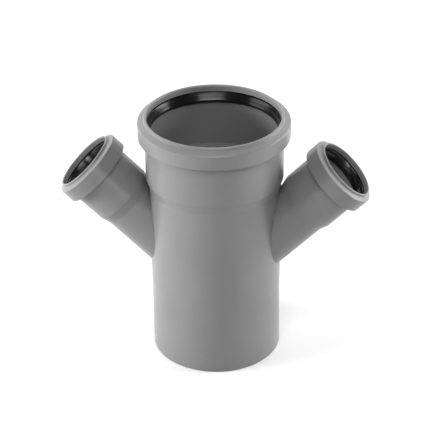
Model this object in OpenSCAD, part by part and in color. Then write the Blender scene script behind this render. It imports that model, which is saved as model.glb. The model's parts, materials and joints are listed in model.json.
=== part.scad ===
// Double branch for push-fit drain pipe. One moulding has a plain spigot at its foot, a ring-seal
// socket on top and two slanted branches with ring-seal sockets of their own. Each socket holds a
// rubber lip seal. Sizes are in millimetres. Z runs up the main pipe, X out along the branches, and
// the origin is the centre of the spigot's end.

/* [Main pipe] */
// Outside diameter of the main pipe and its spigot
main_d = 110; // [100:1:125]
// Wall thickness of the main pipe
main_wall = 2.7; // [2:0.1:4]
// Height from the spigot's end to the lip of the top socket
fitting_h = 220; // [210:1:260]
// Length of the spigot, from its end to where the pipe swells into the moulded body
spigot_len = 60; // [56:1:64]
// How far the moulded body stands out from the spigot's surface
body_swell = 0.2; // [0.1:0.05:0.4]
// Chamfer round the outside of the spigot's end
spigot_chamfer = 0.9; // [0.3:0.1:1.5]

/* [Branches] */
// Outside diameter of each branch pipe
branch_d = 50; // [40:1:60]
// Wall thickness of each branch pipe
branch_wall = 1.8; // [1.5:0.1:3]
// Angle between each branch and the main pipe
branch_angle = 45; // [42:1:70]
// Depth from the lip of the top socket down to the point where the branch axes cross the main axis
branch_drop = 157; // [150:1:170]
// Length of a branch from the main axis to the lip of its socket
branch_len = 156.5; // [150:0.5:200]

/* [Top socket] */
// Depth from the lip to the end of the straight sleeve
main_depth = 55; // [45:1:65]
// Length of the cone between the sleeve and the main pipe
main_cone = 8.5; // [5:0.5:12]
// Wall thickness of the sleeve
main_sleeve_wall = 2.7; // [2:0.1:4]
// Gap all round between an inserted pipe and the sleeve
main_gap = 0.3; // [0.2:0.05:0.5]
// Depth of the seal groove, measured out from the inside of the sleeve
main_groove = 5.7; // [5:0.1:7]
// Wall thickness of the ring housing round the groove
main_ring_wall = 2.8; // [2:0.1:4]
// Height of the ring housing
main_ring_h = 13.5; // [12:0.5:16]
// Height of the lip above the edge of the ring housing
main_lip_h = 4.2; // [3.5:0.1:6]
// How far the seal's lip reaches inside the surface of an inserted pipe
main_bite = 2; // [1:0.1:2.5]

/* [Branch sockets] */
// Depth from the lip to the end of the straight sleeve
branch_depth = 44.5; // [38:0.5:50]
// Length of the cone between the sleeve and the branch pipe
branch_cone = 8; // [5:0.5:12]
// Wall thickness of the sleeve
branch_sleeve_wall = 1.9; // [1.5:0.1:3]
// Gap all round between an inserted pipe and the sleeve
branch_gap = 0.25; // [0.2:0.05:0.4]
// Depth of the seal groove, measured out from the inside of the sleeve
branch_groove = 4.6; // [4.2:0.1:5.5]
// Wall thickness of the ring housing round the groove
branch_ring_wall = 2.1; // [1.6:0.1:3]
// Height of the ring housing
branch_ring_h = 12.9; // [11.5:0.5:15]
// Height of the lip above the edge of the ring housing
branch_lip_h = 3.4; // [2.8:0.1:5]
// How far the seal's lip reaches inside the surface of an inserted pipe
branch_bite = 1; // [0.5:0.1:1.5]

/* [Seals] */
// Play between a seal and the groove round it and above it
seal_play = 0.2; // [0.1:0.05:0.3]
// Height of the straight face at the tip of each seal's lip
seal_land = 1.6; // [1.2:0.1:2]
// Radius of the nose under that face
seal_nose = 0.6; // [0.4:0.05:0.8]

/* [Hidden] */
$fn = 96;
grey = [0.52, 0.52, 0.52];
black = [0.06, 0.06, 0.06];
// Steps in a quarter round of a moulded edge
edge_steps = 5;
// Height at which the branch axes cross the main axis
branch_z = fitting_h - branch_drop;
// Outside radius of the moulded body between the branches
body_r = main_d / 2 + body_swell;
// Overrun of every cut past the face that it opens
cut = 2;

// Points on an arc about a centre, from one angle to another
function arc(centre, r, from, to) =
    [for (i = [0 : edge_steps]) let (a = from + (to - from) * i / edge_steps)
        centre + r * [cos(a), sin(a)]];

// A socket is a list of sizes, read by the names below
function socket(pipe_r, wall, top, depth, cone, sleeve_wall, gap, groove, ring_wall, ring_h, lip_h, bite) =
    [pipe_r, wall, top, depth, cone, sleeve_wall, gap, groove, ring_wall, ring_h, lip_h, bite];
function pipe_r(s) = s[0];
function bore_r(s) = s[0] - s[1];
function top(s) = s[2];
function sleeve_end(s) = s[2] - s[3];
function cone_end(s) = s[2] - s[3] - s[4];
function sleeve_in(s) = s[0] + s[6];
function sleeve_out(s) = s[0] + s[6] + s[5];
function groove_r(s) = sleeve_in(s) + s[7];
function ring_wall(s) = s[8];
function ring_r(s) = groove_r(s) + s[8];
function ring_top(s) = s[2] - s[10];
function ring_base(s) = s[2] - s[10] - s[9];
function lip_h(s) = s[10];
function seal_tip(s) = s[0] - s[11];

// The lip is a continuation of the sleeve's wall, opened a little and rounded over
function lip_in(s) = sleeve_in(s) + 0.25 * s[5];
function lip_out(s) = lip_in(s) + s[5];
function lip_mid(s) = (lip_in(s) + lip_out(s)) / 2;
function lip_r(s) = (lip_out(s) - lip_in(s)) / 2;
// The seal's groove keeps the ring housing's wall below and above it
function groove_base(s) = ring_base(s) + 0.85 * ring_wall(s);
function groove_top(s) = ring_top(s) - 0.45 * ring_wall(s);

main_socket = socket(main_d / 2, main_wall, fitting_h, main_depth, main_cone, main_sleeve_wall, main_gap,
    main_groove, main_ring_wall, main_ring_h, main_lip_h, main_bite);
branch_socket = socket(branch_d / 2, branch_wall, branch_len, branch_depth, branch_cone, branch_sleeve_wall,
    branch_gap, branch_groove, branch_ring_wall, branch_ring_h, branch_lip_h, branch_bite);

// Half outline of the moulding's outside above a pipe of the given radius: cone, sleeve, ring housing and lip
function socket_outside(s, r) =
    let (edge = 0.5 * ring_wall(s), under = 0.2 * ring_wall(s), dip = 0.7 * lip_h(s), dip_r = 0.2 * lip_h(s))
    concat(
        [[r, cone_end(s)], [sleeve_out(s), sleeve_end(s)], [sleeve_out(s), ring_base(s) - under]],
        arc([ring_r(s) - under, ring_base(s) + under], under, -90, 0),
        arc([ring_r(s) - edge, ring_top(s) - edge], edge, 0, 69),
        arc([lip_out(s) + dip_r, top(s) - dip + dip_r], dip_r, 249, 180),
        arc([lip_mid(s), top(s) - lip_r(s)], lip_r(s), 0, 90),
        [[0, top(s)]]);

// Half outline of the space inside: bore, step to the sleeve, seal groove and mouth
function socket_inside(s) = concat(
    [[bore_r(s), cone_end(s)], [sleeve_in(s), sleeve_end(s)], [sleeve_in(s), groove_base(s)]],
    [[groove_r(s), groove_base(s)], [groove_r(s), groove_top(s)], [lip_in(s), groove_top(s)]],
    arc([lip_mid(s), top(s) - lip_r(s)], lip_r(s), 180, 90),
    [[lip_mid(s), top(s) + cut], [0, top(s) + cut]]);

// Half section of a seal: a foot that stands in the groove, and a lip that leans in and down to its nose.
// The notch between them lets the lip fold out as a pipe goes in.
function seal_section(s) =
    let (out = groove_r(s) - seal_play, base = groove_base(s), high = groove_top(s) - seal_play,
        tall = high - base, tip = seal_tip(s), foot = 0.45 * (groove_r(s) - sleeve_in(s)), edge = 0.15 * tall,
        nose_z = base + 0.05 * tall + seal_nose, notch = 0.1 * tall, bevel = 0.08 * tall)
    concat(
        [[out - foot, base]],
        arc([out - edge, base + edge], edge, -90, 0),
        arc([out - edge, high - edge], edge, 0, 90),
        [[lip_in(s) + bevel / 2, high], [lip_in(s) - bevel / 4, high - bevel], [tip, nose_z + seal_land]],
        arc([tip + seal_nose, nose_z], seal_nose, 180, 290),
        arc([out - foot - notch / 2, base + 0.45 * tall], notch / 2, 150, 0));

module turned(outline) rotate_extrude() polygon(outline);

// Turns a branch's own Z into the axis of the branch on the given side
module on_branch(side)
    translate([0, 0, branch_z]) rotate([0, side * branch_angle, 0]) children();

module main_outside()
    let (r = pipe_r(main_socket))
    turned(concat(
        [[0, 0], [r - spigot_chamfer, 0], [r, spigot_chamfer], [r, spigot_len]],
        [[body_r, spigot_len + 40 * body_swell]],
        socket_outside(main_socket, body_r)));

module main_inside()
    turned(concat([[0, -cut], [bore_r(main_socket), -cut]], socket_inside(main_socket)));

module branch_outside()
    let (r = pipe_r(branch_socket))
    turned(concat([[0, 0], [r, 0]], socket_outside(branch_socket, r)));

module branch_inside()
    turned(concat([[0, 0], [bore_r(branch_socket), 0]], socket_inside(branch_socket)));

module body()
    color(grey) difference() {
        union() {
            main_outside();
            for (side = [-1, 1]) on_branch(side) branch_outside();
        }
        main_inside();
        for (side = [-1, 1]) on_branch(side) branch_inside();
    }

module main_seal() color(black) turned(seal_section(main_socket));
module branch_seal(side) color(black) on_branch(side) turned(seal_section(branch_socket));
module left_seal() branch_seal(-1);
module right_seal() branch_seal(1);

body();
main_seal();
left_seal();
right_seal();
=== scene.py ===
import json
import math
import bpy
from mathutils import Matrix, Vector


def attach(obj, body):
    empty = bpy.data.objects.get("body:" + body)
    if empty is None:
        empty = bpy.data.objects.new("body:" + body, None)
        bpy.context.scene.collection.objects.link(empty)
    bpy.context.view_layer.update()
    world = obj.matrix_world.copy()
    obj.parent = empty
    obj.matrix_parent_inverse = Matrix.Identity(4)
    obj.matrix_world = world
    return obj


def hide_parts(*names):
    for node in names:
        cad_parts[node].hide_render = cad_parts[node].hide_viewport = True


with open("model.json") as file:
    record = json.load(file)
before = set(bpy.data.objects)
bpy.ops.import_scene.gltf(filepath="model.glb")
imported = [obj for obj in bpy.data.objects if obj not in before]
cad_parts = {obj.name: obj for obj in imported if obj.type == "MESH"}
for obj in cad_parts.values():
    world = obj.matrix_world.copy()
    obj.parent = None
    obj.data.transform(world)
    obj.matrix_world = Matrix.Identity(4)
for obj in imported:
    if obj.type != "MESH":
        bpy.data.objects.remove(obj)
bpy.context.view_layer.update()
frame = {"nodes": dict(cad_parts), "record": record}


# The fitting itself: one injection moulding in grey polypropylene, with a plain spigot below, a
# ring-seal socket on top and two slanted branches with sockets of their own. The satin surface has
# a fine grain and a slight orange peel from the mould, and the pigment is a little uneven.
def add(tree, kind, place, **values):
    node = tree.nodes.new(kind)
    node.location = place
    for name, value in values.items():
        if name in node.inputs:
            node.inputs[name].default_value = value
        else:
            setattr(node, name, value)
    return node


patches = bpy.data.node_groups.new("patches", "ShaderNodeTree")
patches.interface.new_socket("Scale", in_out="INPUT", socket_type="NodeSocketFloat")
patches.interface.new_socket("Low", in_out="INPUT", socket_type="NodeSocketFloat")
patches.interface.new_socket("High", in_out="INPUT", socket_type="NodeSocketFloat")
patches.interface.new_socket("Value", in_out="OUTPUT", socket_type="NodeSocketFloat")
given = add(patches, "NodeGroupInput", (-600, -200))
where = add(patches, "ShaderNodeTexCoord", (-600, 100))
noise = add(patches, "ShaderNodeTexNoise", (-300, 100), Detail=2.0, Roughness=0.5)
limits = add(patches, "ShaderNodeMapRange", (0, 0), **{"From Min": 0.3, "From Max": 0.7})
result = add(patches, "NodeGroupOutput", (300, 0))
patches.links.new(where.outputs["Object"], noise.inputs["Vector"])
patches.links.new(given.outputs["Scale"], noise.inputs["Scale"])
patches.links.new(noise.outputs["Fac"], limits.inputs["Value"])
patches.links.new(given.outputs["Low"], limits.inputs["To Min"])
patches.links.new(given.outputs["High"], limits.inputs["To Max"])
patches.links.new(limits.outputs["Result"], result.inputs["Value"])


def add_patches(tree, place, scale, low, high):
    node = tree.nodes.new("ShaderNodeGroup")
    node.node_tree = patches
    node.location = place
    for name, value in (("Scale", scale), ("Low", low), ("High", high)):
        node.inputs[name].default_value = value
    return node.outputs["Value"]


grey = bpy.data.materials.new("grey_polypropylene")
grey.use_nodes = True
tree = grey.node_tree
tree.nodes.clear()
pigment = add_patches(tree, (-900, 300), scale=24.0, low=0.0, high=1.0)
satin = add_patches(tree, (-900, 50), scale=150.0, low=0.28, high=0.34)
peel = add_patches(tree, (-900, -200), scale=280.0, low=0.0, high=1.0)
grain = add_patches(tree, (-900, -450), scale=2000.0, low=0.0, high=0.4)
tone = add(tree, "ShaderNodeValToRGB", (-600, 300))
tone.color_ramp.elements[0].color = (0.194, 0.194, 0.194, 1)
tone.color_ramp.elements[1].color = (0.206, 0.206, 0.205, 1)
rise = add(tree, "ShaderNodeMath", (-600, -300), operation="ADD")
relief = add(tree, "ShaderNodeBump", (-350, -300), Strength=0.1, Distance=0.0002)
plastic = add(tree, "ShaderNodeBsdfPrincipled", (0, 0), IOR=1.49)
out = add(tree, "ShaderNodeOutputMaterial", (300, 0))
tree.links.new(pigment, tone.inputs["Fac"])
tree.links.new(tone.outputs["Color"], plastic.inputs["Base Color"])
tree.links.new(satin, plastic.inputs["Roughness"])
tree.links.new(peel, rise.inputs[0])
tree.links.new(grain, rise.inputs[1])
tree.links.new(rise.outputs["Value"], relief.inputs["Height"])
tree.links.new(relief.outputs["Normal"], plastic.inputs["Normal"])
tree.links.new(plastic.outputs["BSDF"], out.inputs["Surface"])
body = frame["nodes"]["body"]
body.data.materials.clear()
body.data.materials.append(grey)


# The three lip seals: rings of black rubber, each moulded in one piece and pressed into the
# groove of its socket. A foot stands in the groove, and a lip with fine wiping lines leans in over
# a fold. They come lubricated, so they shine more than the plastic.
rubber = bpy.data.materials.new("black_rubber")
rubber.use_nodes = True
tree = rubber.node_tree
tree.nodes.clear()
soot = add_patches(tree, (-900, 300), scale=90.0, low=0.0, high=1.0)
film = add_patches(tree, (-900, 0), scale=60.0, low=0.17, high=0.21)
ripple = add_patches(tree, (-900, -300), scale=130.0, low=0.0, high=1.0)
tone = add(tree, "ShaderNodeValToRGB", (-600, 300))
tone.color_ramp.elements[0].color = (0.0050, 0.0050, 0.0052, 1)
tone.color_ramp.elements[1].color = (0.0075, 0.0075, 0.0075, 1)
relief = add(tree, "ShaderNodeBump", (-350, -300), Strength=0.05, Distance=0.0002)
black = add(tree, "ShaderNodeBsdfPrincipled", (0, 0), IOR=1.56)
out = add(tree, "ShaderNodeOutputMaterial", (300, 0))
tree.links.new(soot, tone.inputs["Fac"])
tree.links.new(tone.outputs["Color"], black.inputs["Base Color"])
tree.links.new(film, black.inputs["Roughness"])
tree.links.new(ripple, relief.inputs["Height"])
tree.links.new(relief.outputs["Normal"], black.inputs["Normal"])
tree.links.new(black.outputs["BSDF"], out.inputs["Surface"])


def round_edge(centre, radius, start, end, steps=6):
    angles = [math.radians(start + (end - start) * i / steps) for i in range(steps + 1)]
    return [(centre[0] + radius * math.cos(a), centre[1] + radius * math.sin(a)) for a in angles]


# A seal reaches as far as its solid does, round the axis of its socket. The outline of its section
# is a row of points, each a radius and a height along that axis. It runs up the back of the foot, in
# over its top, down a step to the lip, down the leaning face with its wiping lines to the straight
# face, round the nose and back over the fold.
def lip_seal(node, socket, foot_width, lip):
    origin, axis = Vector(mounts[socket]["pos_m"]), Vector(mounts[socket]["axis"])
    places = [corner.co - origin for corner in frame["nodes"][node].data.vertices]
    heights = [place.dot(axis) for place in places]
    radii = [place.cross(axis).length for place in places]
    base, top, tip, outer = min(heights), max(heights), min(radii), max(radii)
    tall = top - base
    foot_edge, fold, fold_height = 0.15 * tall, 0.05 * tall, base + 0.45 * tall
    nose, nose_foot, straight_face = 0.0006, base + 0.05 * tall, 0.0022
    gap, step_top, step_foot, step_rise = 0.0013, lip + 0.0013, lip + 0.0012, 0.0002
    face_top, face_foot = (lip - 0.0004, top - gap), (tip, nose_foot + straight_face)
    face_edge, face_edge_drop = 0.0003, 0.0001
    line_half, line_deep = 0.00015, 0.00007
    run = Vector((face_foot[0] - face_top[0], face_foot[1] - face_top[1]))
    inward = Vector((-run.y, run.x)).normalized()
    # A first point close under the face's rounded top keeps that edge's shading off the face
    face = [Vector(face_top) + run * 0.06]
    for share in (0.42, 0.55, 0.68):
        for shift, depth in ((-line_half, 0.0), (0.0, line_deep), (line_half, 0.0)):
            on_face = Vector(face_top) + run * share + run.normalized() * shift
            face.append(on_face + inward * depth)
    outline = (
        [(outer - foot_width, base)]
        + round_edge((outer - foot_edge, base + foot_edge), foot_edge, -90, 0)
        + round_edge((outer - foot_edge, top - foot_edge), foot_edge, 0, 90)
        + [(step_top, top), (step_foot, top - gap + step_rise)]
        + round_edge((face_top[0] + face_edge, face_top[1] - face_edge_drop), face_edge, 90, 156)
        + [tuple(point) for point in face]
        + [face_foot]
        + round_edge((tip + nose, nose_foot + nose), nose, 180, 290)
        + round_edge((outer - foot_width - fold, fold_height), fold, 150, 0, steps=10))
    bpy.ops.object.select_all(action="DESELECT")
    bpy.ops.mesh.primitive_circle_add(
        vertices=len(outline), radius=0.01, fill_type="NOTHING", location=(0, 0, 0))
    ring = bpy.context.object
    ring.name = node + "_ring"
    for corner, (radius, height) in zip(ring.data.vertices, outline):
        corner.co = origin + height * axis + Vector((0, radius, 0))
    bpy.ops.object.mode_set(mode="EDIT")
    bpy.ops.mesh.select_all(action="SELECT")
    bpy.ops.mesh.spin(steps=192, angle=2 * math.pi, center=origin, axis=axis)
    bpy.ops.mesh.select_all(action="SELECT")
    bpy.ops.mesh.remove_doubles(threshold=0.000001)
    bpy.ops.mesh.normals_make_consistent(inside=False)
    bpy.ops.object.mode_set(mode="OBJECT")
    bpy.ops.object.shade_smooth_by_angle(angle=math.radians(20))
    ring.data.materials.append(rubber)
    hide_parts(node)
    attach(ring, "root")


mounts = {mount["name"]: mount for mount in frame["record"]["mounts"]}
lip_seal("main_seal", "main_socket", foot_width=0.00257, lip=0.05598)
for node, socket in (("left_seal", "left_socket"), ("right_seal", "right_socket")):
    lip_seal(node, socket, foot_width=0.00207, lip=0.02573)


# The floor is a wide sheet of white paper. It looks whiter to the camera and in reflections than
# the light it throws back on the fitting, and it keeps the fitting's shadow. Further out, where the
# lamps don't reach, it glows by itself up to plain white.
def add_light_path(tree):
    path = add(tree, "ShaderNodeLightPath", (-900, 300))
    mirrored = add(tree, "ShaderNodeMath", (-700, 300), operation="MAXIMUM")
    tree.links.new(path.outputs["Is Glossy Ray"], mirrored.inputs[0])
    tree.links.new(path.outputs["Is Transmission Ray"], mirrored.inputs[1])
    return path.outputs["Is Camera Ray"], mirrored.outputs["Value"]


bpy.ops.object.select_all(action="DESELECT")
bpy.ops.mesh.primitive_plane_add(size=24, location=(0, 0, 0))
floor = bpy.context.object
floor.name = "floor"
white = bpy.data.materials.new("white_paper")
white.use_nodes = True
tree = white.node_tree
tree.nodes.clear()
from_camera, in_mirror = add_light_path(tree)
seen = add(tree, "ShaderNodeMath", (-500, 300), operation="MAXIMUM")
shade = add(tree, "ShaderNodeMix", (-300, 300), data_type="RGBA",
            A=(0.6, 0.6, 0.6, 1), B=(0.93, 0.93, 0.93, 1))
where = add(tree, "ShaderNodeTexCoord", (-900, -100))
reach = add(tree, "ShaderNodeVectorMath", (-700, -100), operation="LENGTH")
far = add(tree, "ShaderNodeMapRange", (-500, -100), interpolation_type="SMOOTHSTEP",
          **{"From Min": 0.7, "From Max": 1.9})
glow = add(tree, "ShaderNodeMath", (-300, 0), operation="MULTIPLY")
paper = add(tree, "ShaderNodeBsdfDiffuse", (-100, 200))
light = add(tree, "ShaderNodeEmission", (-100, 0), Color=(1, 1, 1, 1))
both = add(tree, "ShaderNodeAddShader", (100, 100))
out = add(tree, "ShaderNodeOutputMaterial", (300, 100))
tree.links.new(in_mirror, seen.inputs[0])
tree.links.new(from_camera, seen.inputs[1])
tree.links.new(seen.outputs["Value"], shade.inputs["Factor"])
tree.links.new(shade.outputs["Result"], paper.inputs["Color"])
tree.links.new(where.outputs["Object"], reach.inputs[0])
tree.links.new(reach.outputs["Value"], far.inputs["Value"])
tree.links.new(far.outputs["Result"], glow.inputs[0])
tree.links.new(seen.outputs["Value"], glow.inputs[1])
tree.links.new(glow.outputs["Value"], light.inputs["Strength"])
tree.links.new(paper.outputs["BSDF"], both.inputs[0])
tree.links.new(light.outputs["Emission"], both.inputs[1])
tree.links.new(both.outputs["Shader"], out.inputs["Surface"])
floor.data.materials.append(white)


# To the camera the whole room is plain white. In reflections it is white behind the fitting and low
# down all round, and dim on the camera's side, so that the seals stay black. Its light on the
# fitting is as dim.
room = bpy.data.worlds.new("room")
bpy.context.scene.world = room
room.use_nodes = True
tree = room.node_tree
tree.nodes.clear()
where = add(tree, "ShaderNodeTexCoord", (-900, 0))
direction = add(tree, "ShaderNodeSeparateXYZ", (-700, 0))
low_down = add(tree, "ShaderNodeMapRange", (-500, 0), interpolation_type="SMOOTHSTEP",
               **{"From Min": 0.03, "From Max": 0.09, "To Min": 1.0, "To Max": 0.0})
behind = add(tree, "ShaderNodeMapRange", (-500, -300), interpolation_type="SMOOTHSTEP",
             **{"From Min": 0.25, "From Max": 0.75})
backdrop = add(tree, "ShaderNodeMath", (-400, 0), operation="MAXIMUM")
from_camera, in_mirror = add_light_path(tree)
reflected = add(tree, "ShaderNodeMath", (-300, 200), operation="MULTIPLY")
seen = add(tree, "ShaderNodeMath", (-100, 200), operation="MAXIMUM")
at_least_dim = add(tree, "ShaderNodeMath", (100, 200), operation="MAXIMUM")
at_least_dim.inputs[1].default_value = 0.04
air = add(tree, "ShaderNodeBackground", (300, 0), Color=(1, 1, 1, 1))
out = add(tree, "ShaderNodeOutputWorld", (500, 0))
tree.links.new(where.outputs["Generated"], direction.inputs["Vector"])
tree.links.new(direction.outputs["Z"], low_down.inputs["Value"])
tree.links.new(direction.outputs["Y"], behind.inputs["Value"])
tree.links.new(low_down.outputs["Result"], backdrop.inputs[0])
tree.links.new(behind.outputs["Result"], backdrop.inputs[1])
tree.links.new(in_mirror, reflected.inputs[0])
tree.links.new(backdrop.outputs["Value"], reflected.inputs[1])
tree.links.new(reflected.outputs["Value"], seen.inputs[0])
tree.links.new(from_camera, seen.inputs[1])
tree.links.new(seen.outputs["Value"], at_least_dim.inputs[0])
tree.links.new(at_least_dim.outputs["Value"], air.inputs["Strength"])
tree.links.new(air.outputs["Background"], out.inputs["Surface"])


# Soft panels stand round the fitting and face its middle. The strongest, low on the left, and the
# one on the right are kept out of reflections. Two of the glints give reflections alone, the soft
# highlights on the seals. The last two values say if a panel gives light and if it is reflected.
middle = Vector((0, 0, 0.12))
for name, place, width, tall, power, lights, mirrored in (
        ("left_panel", (-1.65, -0.27, 0.54), 1.1, 0.55, 40.9, True, False),
        ("left_glint", (-1.5, -0.25, 0.5), 1.0, 0.5, 2.8, True, True),
        ("left_wall", (-1.2, 0.7, 1.0), 1.8, 1.8, 6.6, True, True),
        ("right_panel", (1.65, 0.3, 0.6), 0.7, 0.95, 22.3, True, False),
        ("right_wall", (1.37, 0.52, 0.58), 1.1, 1.0, 10.0, True, True),
        ("right_glint", (1.4, 0.38, 0.3), 0.55, 0.4, 1.7, False, True),
        ("back_high_panel", (0.0, 1.4, 1.5), 1.4, 0.9, 9.4, True, True),
        ("front_high_panel", (0.0, -1.25, 1.7), 0.9, 0.9, 15.0, True, True),
        ("front_right_panel", (0.7, -1.1, 1.5), 0.9, 0.9, 4.6, True, True),
        ("front_glint", (0.27, -1.58, 0.66), 1.2, 0.38, 11.5, False, True),
        ("top_panel", (0.0, 0.1, 1.9), 1.0, 1.0, 2.0, True, True)):
    panel = bpy.data.lights.new(name, "AREA")
    panel.shape, panel.size, panel.size_y, panel.energy = "RECTANGLE", width, tall, power
    lamp = bpy.data.objects.new(name, panel)
    bpy.context.scene.collection.objects.link(lamp)
    lamp.location = place
    lamp.rotation_euler = (middle - lamp.location).to_track_quat("-Z", "Y").to_euler()
    lamp.visible_camera, lamp.visible_diffuse, lamp.visible_glossy = False, lights, mirrored


# The camera stands where the photograph's did, about 1.3 m in front, and looks 30 degrees down. Its
# focal length was found in pixels, of which the picture is 430 wide.
focal_pixels, picture_pixels, sensor = 1808.47, 430, 36
lens = bpy.data.cameras.new("camera")
lens.sensor_fit, lens.sensor_width = "HORIZONTAL", sensor
lens.lens = focal_pixels / picture_pixels * sensor
camera = bpy.data.objects.new("camera", lens)
bpy.context.scene.collection.objects.link(camera)
stand = (0.12653, -1.32372, 0.90095)
heading, tilt, roll = math.radians(5.47), math.radians(59.72), math.radians(-0.77)
turn = (Matrix.Rotation(heading, 4, "Z") @ Matrix.Rotation(tilt, 4, "X")
        @ Matrix.Rotation(roll, 4, "Z"))
camera.matrix_world = Matrix.Translation(stand) @ turn
bpy.context.scene.camera = camera
bpy.context.scene.view_settings.view_transform = "Standard"
